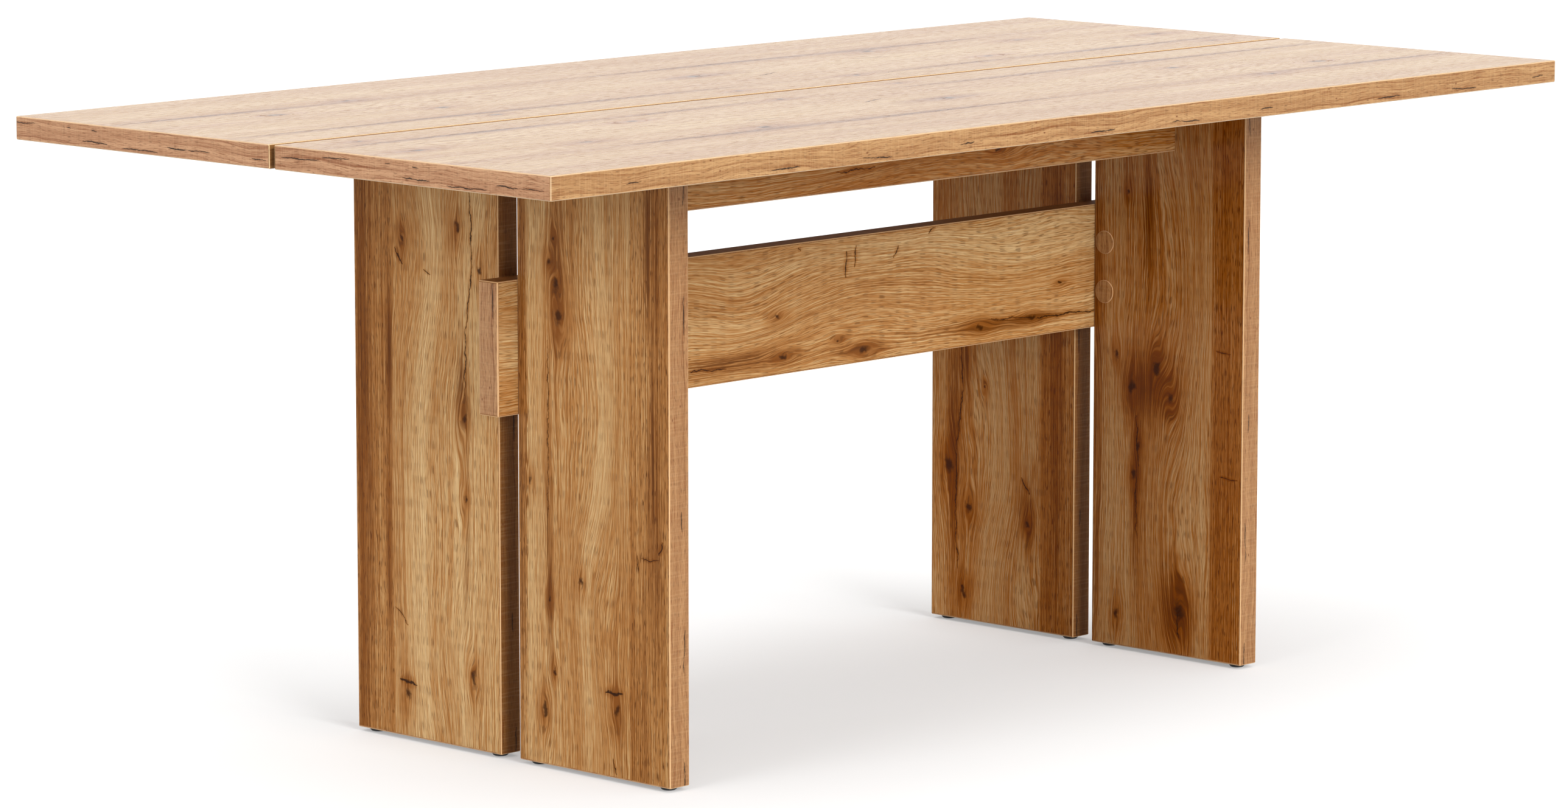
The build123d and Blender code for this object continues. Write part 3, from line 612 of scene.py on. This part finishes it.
def set_out(name, tree, spots, inputs, node_name):
    """Runs a tree over spots, each a place in millimetres and a facing; its mesh stands in for a node."""
    points = bpy.data.meshes.new(f"{name}_points")
    points.from_pydata([Vector(place) * MM for place, facing in spots], [], [])
    facings = points.attributes.new("facing", "FLOAT_VECTOR", "POINT")
    for index, (place, facing) in enumerate(spots):
        facings.data[index].vector = facing
    holder = bpy.data.objects.new(f"{name}_points", points)
    bpy.context.scene.collection.objects.link(holder)
    modifier = holder.modifiers.new("set_out", "NODES")
    modifier.node_group = tree
    for socket in tree.interface.items_tree:
        if socket.in_out == "INPUT" and socket.name in inputs:
            modifier[socket.identifier] = inputs[socket.name]
    built = holder.evaluated_get(bpy.context.evaluated_depsgraph_get())
    piece = bpy.data.objects.new(name, bpy.data.meshes.new_from_object(built))
    piece.data.name = name
    bpy.data.objects.remove(holder)
    bpy.context.scene.collection.objects.link(piece)
    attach(piece, "table")
    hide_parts(node_name)


CAP_BAND = ("#8a5a33", "#b98a58")
CAP_SHAPE = {"Height": 1.2 * MM, "Round": 0.6 * MM}
STRETCHER_MIDDLE = sum(span("stretcher", 2)) / 2
CAM_SIDE = 34
CAM_STEP = 32
CORNERS = [(end, side) for end in ENDS.values() for side in SIDES.values()]
cap_spots = [((end * LEG_INNER, side * CAM_SIDE, STRETCHER_MIDDLE + step), (-end, 0, 0))
             for end, side in CORNERS for step in (-CAM_STEP, CAM_STEP)]
set_out("stretcher_cap_discs", round_pieces, cap_spots,
        {"Diameter": 30 * MM, **CAP_SHAPE,
         "Material": oak_band("leg_caps", "Z", "Y", "X", *CAP_BAND)}, "stretcher_cam_caps")

# Rails: two narrow boards under the planks, drawn against the leg panels by cam locks and dowels. Their
# lower edge is banded like the legs, and small caps cover the cams on the faces that look to the middle.
# The rails' print is drawn richer and warmer: painted shade under the top
for side in SIDES:
    oak_decor(f"rail_{side}", "X", "Z", "Y", shown=SIDES[side], sheet=6 + SIDES[side], shade_saturation=PAINTED_SHADE_SATURATION,
              knots=[(-330, 12, 5), (160, -10, 4), (390, 14, 4)],
              cracks=[((-60, -14), (-130, -18), 1.8), ((250, 16), (300, 14), 1.6)],
              flames=[(-200, 0, 180, 30, 16), (280, 0, 160, 26, -14)],
              hearts=[(-340, 0, 120, 12), (60, 20, 200, 9)])
RAIL_INNER, RAIL_OUTER = span("rail_rear", 1)
RAIL_MIDDLE = (RAIL_INNER + RAIL_OUTER) / 2
RAIL_CAM_INSET = 34
RAIL_CAM_DROP = 24
rail_cam_place = LEG_INNER - RAIL_CAM_INSET
rail_cam_height = span("rail_rear", 2)[1] - RAIL_CAM_DROP
finish_nodes([f"rail_{side}_band_lower" for side in SIDES],
             oak_band("rail_edges", "X", "Y", "Z", *LEG_BAND, middle=RAIL_MIDDLE))
cap_spots = [((end * rail_cam_place, side * RAIL_INNER, rail_cam_height), (0, -side, 0))
             for end, side in CORNERS]
set_out("rail_cap_discs", round_pieces, cap_spots,
        {"Diameter": 18 * MM, **CAP_SHAPE,
         "Material": oak_band("rail_caps", "X", "Z", "Y", *CAP_BAND)}, "rail_cam_caps")

# Rail bolts and dowels: a plated bolt is screwed into the leg at each rail end, and a beech dowel under it
# keeps the rail from turning. Both are hidden in their holes; the beech is pale with fine darker flecks.
finish_nodes(["rail_bolts"], steel)
FLECK_LENGTH = 14 * MM
FLECK_WIDTH = 0.8 * MM
beech, node = new_material("beech_bare_fluted")
place = node("ShaderNodeTexCoord").outputs["Object"]
stretched = node("ShaderNodeVectorMath", {0: place, 1: (1 / FLECK_LENGTH, 1 / FLECK_WIDTH, 1 / FLECK_WIDTH)},
                 operation="MULTIPLY")
flecks = node("ShaderNodeTexNoise", {"Vector": stretched, "Scale": 1.0, "Detail": 2.0})
shade = node("ShaderNodeMix", {"Factor": flecks, "A": linear("#c49a6c"), "B": linear("#e0bf94")},
             data_type="RGBA")
grain = node("ShaderNodeBump", {"Height": flecks, "Strength": 0.3, "Distance": 0.2 * MM})
node("ShaderNodeOutputMaterial", {"Surface": node("ShaderNodeBsdfPrincipled", {
    "Base Color": shade, "Roughness": 0.7, "Normal": grain})})
finish_nodes(["rail_dowels"], beech)

# Top planks: two full-length boards with an open gap between them, cut from the same sheet, so the rear
# one shows the front one's print turned by half a turn. All four edges of each are banded.
PLANK_FIGURE = {
    "knots": [(-810, 180, 5), (-140, 160, 6), (-445, 110, 8), (105, 188, 6), (500, 175, 6), (-825, 65, 8),
              (10, 25, 10), (485, 70, 8), (-635, -10, 8), (-380, -45, 8), (515, -70, 7), (680, -10, 8)],
    "cracks": [((-880, 150), (-560, 158), 2.4), ((-420, 150), (-180, 162), 2.4),
               ((70, 150), (330, 146), 2.4), ((420, 150), (880, 148), 2.0), ((-100, 60), (-50, 78), 3.0),
               ((-350, 20), (-290, 12), 2.2), ((-620, -66), (-400, -66), 2.6),
               ((-300, -72), (110, -66), 2.2), ((640, -60), (890, -58), 2.2)],
    "flames": [(140, 70, 150, 50, 28), (-500, 60, 420, 60, 33), (500, 60, 420, 60, -33)],
    "hearts": [(-560, 152, 300, 9), (480, 152, 380, 9), (-250, -66, 380, 9), (700, -58, 200, 9),
               (10, 25, 70, 14)]}
# The planks' print is paler than the other boards' (0.21 against 0.13): painted light from above on the top
for side in SIDES:
    oak_decor(f"top_plank_{side}", "X", "Y", "Z", shown=1, sheet=8, turn=-SIDES[side], ior=1.27,
              paleness_and_painted_light=0.21, figure=0.6, **PLANK_FIGURE)
PLANK_BAND = ("#7b4f2a", "#ab855a")
PLANK_END_BAND = ("#84563a", "#b58c6a")
# Painted shade: the bands in the gap between the planks are printed darker than the outer bands
PLANK_GAP_BAND_SHADED = ("#6b4526", "#8a6238")
PLANK_ARRIS = "#c2a684"
# The gap arris is paler than the other plank arrises: milled plastic with a painted highlight where it
# catches the light
PLANK_GAP_ARRIS_HIGHLIGHT = "#e6cba2"
TOP_UNDERSIDE, TOP_FACE = span("top_plank_rear", 2)
PLANK_MIDDLE = (TOP_UNDERSIDE + TOP_FACE) / 2
PLANK_END_CRACKS = [((253, -6), (208, -7), 2.2), ((103, -3), (68, -4), 2.4), ((68, -3.5), (28, -3), 1.6),
                    ((-42, -4.4), (-67, -4.6), 2.0), ((-92, 1), (-157, 2), 2.2),
                    ((-264, 7.5), (-272, 7), 2.0), ((237, 7), (226, 6.5), 2.2),
                    ((183, -10), (118, -9.5), 2.0), ((-207, 7.6), (-160, 6), 1.7)]
finish_nodes([f"top_{side}_band_gap" for side in SIDES],
             oak_band("plank_gap_edges", "X", "Z", "Y", *PLANK_GAP_BAND_SHADED, middle=PLANK_MIDDLE,
                      roughness=GAP_ROUGHNESS, arris_colour=PLANK_GAP_ARRIS_HIGHLIGHT, arris_down=0.0))
finish_nodes([f"top_{side}_band_outer" for side in SIDES],
             oak_band("plank_edges", "X", "Z", "Y", *PLANK_BAND, middle=PLANK_MIDDLE,
                      arris_colour=PLANK_ARRIS))
finish_nodes([f"top_{side}_band_{edge}" for side in SIDES for edge in ("left", "right")],
             oak_band("plank_ends", "Y", "Z", "X", *PLANK_END_BAND, middle=PLANK_MIDDLE,
                      cracks=PLANK_END_CRACKS, knots=[], arris_colour=PLANK_ARRIS))

# Angle brackets and their screws: bent steel strip, plated, with pan-head screws that hold the planks down
# to the legs and rails. The screw heads have a cross recess for the driver.
finish_nodes(["top_brackets"], steel)

# A pan-head screw that stands head up on its seat, with its shank below
pan_screws, given, result, node = new_group(
    "pan_screws", "GeometryNodeTree",
    {"Points": "Geometry", "Head Diameter": "Float", "Head Height": "Float", "Recess Width": "Float",
     "Recess Slot": "Float", "Recess Depth": "Float", "Shank Diameter": "Float", "Length": "Float",
     "Point Length": "Float", "Material": "Material"}, {"Pieces": "Geometry"})
rim = node("ShaderNodeMath", {0: given["Head Height"], 1: 0.85}, operation="MULTIPLY")
head = node("GeometryNodeGroup", {"Diameter": given["Head Diameter"], "Height": given["Head Height"],
                                  "Round": rim}, node_tree=rounded_drum)
top_place = node("ShaderNodeCombineXYZ", {"Z": given["Head Height"]})
double_depth = node("ShaderNodeMath", {0: given["Recess Depth"], 1: 2.0}, operation="MULTIPLY")
for across, along in (("Recess Width", "Recess Slot"), ("Recess Slot", "Recess Width")):
    size = node("ShaderNodeCombineXYZ", {"X": given[across], "Y": given[along], "Z": double_depth})
    blade = node("GeometryNodeMeshCube", {"Size": size})
    blade = node("GeometryNodeTransform", {"Geometry": blade, "Translation": top_place})
    head = node("GeometryNodeMeshBoolean", {0: head, 1: blade}, operation="DIFFERENCE")
shank_length = node("ShaderNodeMath", {0: given["Length"], 1: given["Point Length"]}, operation="SUBTRACT")
shank_radius = node("ShaderNodeMath", {0: given["Shank Diameter"], 1: 0.5}, operation="MULTIPLY")
shank = node("GeometryNodeMeshCylinder", {"Vertices": 16, "Radius": shank_radius, "Depth": shank_length})
half_down = node("ShaderNodeMath", {0: shank_length, 1: -0.5}, operation="MULTIPLY")
point = node("GeometryNodeMeshCone", {"Vertices": 16, "Radius Top": shank_radius, "Radius Bottom": 0.0,
                                      "Depth": given["Point Length"]})
all_down = node("ShaderNodeMath", {0: given["Length"], 1: -1.0}, operation="MULTIPLY")
screw = node("GeometryNodeJoinGeometry", {0: head})
for piece, drop in ((shank, half_down), (point, all_down)):
    below = node("ShaderNodeCombineXYZ", {"Z": drop})
    lowered = node("GeometryNodeTransform", {"Geometry": piece, "Translation": below})
    pan_screws.links.new(lowered.outputs[0], screw.inputs[0])
pieces = node("GeometryNodeGroup", {"Points": given["Points"], "Piece": screw,
                                    "Material": given["Material"]}, node_tree=stand_on)
pan_screws.links.new(pieces.outputs[0], result["Pieces"])

BRACKET_THICKNESS = 2
BRACKET_HOLE = 18
LEG_BRACKET_STEP = 75
RAIL_BRACKET_PLACE = 250
LEG_WIDTH_MIDDLE = sum(span("leg_right_rear", 1)) / 2
side_height = TOP_UNDERSIDE - BRACKET_HOLE
top_height = TOP_UNDERSIDE - BRACKET_THICKNESS
screw_spots = []
for end, side in CORNERS:
    for step in (-LEG_BRACKET_STEP, LEG_BRACKET_STEP):
        across = side * LEG_WIDTH_MIDDLE + step
        screw_spots.append(((end * (LEG_INNER - BRACKET_THICKNESS), across, side_height), (-end, 0, 0)))
        screw_spots.append(((end * (LEG_INNER - BRACKET_HOLE), across, top_height), (0, 0, -1)))
    along = end * RAIL_BRACKET_PLACE
    screw_spots.append(((along, side * (RAIL_INNER - BRACKET_THICKNESS), side_height), (0, -side, 0)))
    screw_spots.append(((along, side * (RAIL_INNER - BRACKET_HOLE), top_height), (0, 0, -1)))
set_out("pan_head_screws", pan_screws, screw_spots,
        {"Head Diameter": 7 * MM, "Head Height": 2.4 * MM, "Recess Width": 3.6 * MM, "Recess Slot": 0.9 * MM,
         "Recess Depth": 1.3 * MM, "Shank Diameter": 3.5 * MM, "Length": 16 * MM, "Point Length": 3 * MM,
         "Material": steel}, "bracket_screws")

# Floor glides: low round feet of black plastic under the leg panels, each moulded on a steel nail that is
# driven into the panel's foot. The moulding has a fine spark-eroded grain.
GLIDE_HEIGHT = 5
GLIDE_PLACES = (34, 248)
GLIDE_GRAIN = 0.6 * MM
glide_plastic, node = new_material("black_plastic_matt")
place = node("ShaderNodeTexCoord").outputs["Object"]
grain = node("ShaderNodeTexNoise", {"Vector": place, "Scale": 1 / GLIDE_GRAIN, "Detail": 2.0})
shade = node("ShaderNodeMix", {"Factor": grain, "A": linear("#141414"), "B": linear("#262626")},
             data_type="RGBA")
skin = node("ShaderNodeBump", {"Height": grain, "Strength": 0.3, "Distance": 0.1 * MM})
node("ShaderNodeOutputMaterial", {"Surface": node("ShaderNodeBsdfPrincipled", {
    "Base Color": shade, "Roughness": 0.5, "Normal": skin})})
glide_spots = [((end * LEG_MIDDLE, side * across, GLIDE_HEIGHT), (0, 0, -1))
               for end, side in CORNERS for across in GLIDE_PLACES]
set_out("glide_feet", round_pieces, glide_spots,
        {"Diameter": 20 * MM, "Height": GLIDE_HEIGHT * MM, "Round": 4 * MM, "Material": glide_plastic},
        "floor_glides")
finish_nodes(["glide_nails"], steel)

# Studio: a white paper floor under an even white sky, a wide sun overhead, two soft low ones from the left
# and from the front, and the camera at the photograph's place.
FLOOR_HALF = 60.0
scene = bpy.context.scene
floor_mesh = bpy.data.meshes.new("studio_floor")
corners = [(x * FLOOR_HALF, y * FLOOR_HALF, 0) for x, y in ((-1, -1), (1, -1), (1, 1), (-1, 1))]
floor_mesh.from_pydata(corners, [], [(0, 1, 2, 3)])
floor = bpy.data.objects.new("studio_floor", floor_mesh)
scene.collection.objects.link(floor)
paper, node = new_material("matt_white_paper")
# The floor and the sky look white, but light the table less than that
matt = node("ShaderNodeBsdfDiffuse", {"Color": linear("#c4c4c4")})
path = node("ShaderNodeLightPath")
seen = node("ShaderNodeMath", {0: path.outputs["Is Camera Ray"], 1: path.outputs["Is Glossy Ray"]},
            operation="MAXIMUM")
lift = node("ShaderNodeMath", {0: seen, 1: 0.30}, operation="MULTIPLY")
glow = node("ShaderNodeEmission", {"Strength": lift})
node("ShaderNodeOutputMaterial", {"Surface": node("ShaderNodeAddShader", {0: matt, 1: glow})})
floor_mesh.materials.append(paper)

world = bpy.data.worlds.new("white_studio")
scene.world = world
world.use_nodes = True
world.node_tree.nodes.clear()
node = partial(add, world.node_tree)
path = node("ShaderNodeLightPath")
seen = node("ShaderNodeMath", {0: path.outputs["Is Camera Ray"], 1: path.outputs["Is Glossy Ray"]},
            operation="MAXIMUM")
seen = node("ShaderNodeMath", {0: seen, 1: path.outputs["Is Transmission Ray"]}, operation="MAXIMUM")
level = node("ShaderNodeMapRange", {"Value": seen, "To Min": 0.28, "To Max": 1.0})
sky = node("ShaderNodeBackground", {"Color": (1, 1, 1, 1), "Strength": level})
node("ShaderNodeOutputWorld", {"Surface": sky})

for name, strength, spread, origin in (("high_sun", 2.9, 90, (0.0, 0.0, 1.0)),
                                       ("left_sun", 1.6, 30, (-1.0, 0.0, 0.28)),
                                       ("front_sun", 3.5, 36, (-0.15, -1.0, 0.40))):
    lamp = bpy.data.lights.new(name, "SUN")
    lamp.energy = strength
    lamp.angle = math.radians(spread)
    holder = bpy.data.objects.new(name, lamp)
    holder.rotation_euler = (-Vector(origin)).to_track_quat("-Z", "Y").to_euler()
    # The low suns stand for wide soft boxes, which leave no hot patch on the satin top
    holder.visible_glossy = name == "high_sun"
    scene.collection.objects.link(holder)

CAMERA_TARGET = Vector((-0.070, -0.007, 0.379))
CAMERA_AZIMUTH = math.radians(-46.4)
CAMERA_ELEVATION = math.radians(8.615)
CAMERA_DISTANCE = 7.76
camera = bpy.data.cameras.new("camera")
camera.sensor_width = 36.0
camera.lens = 144.88
viewer = bpy.data.objects.new("camera", camera)
towards = Vector((math.sin(CAMERA_AZIMUTH) * math.cos(CAMERA_ELEVATION),
                  -math.cos(CAMERA_AZIMUTH) * math.cos(CAMERA_ELEVATION), math.sin(CAMERA_ELEVATION)))
viewer.location = CAMERA_TARGET + CAMERA_DISTANCE * towards
viewer.rotation_euler = (-towards).to_track_quat("-Z", "Y").to_euler()
scene.collection.objects.link(viewer)
scene.camera = viewer
scene.view_settings.view_transform = "Standard"
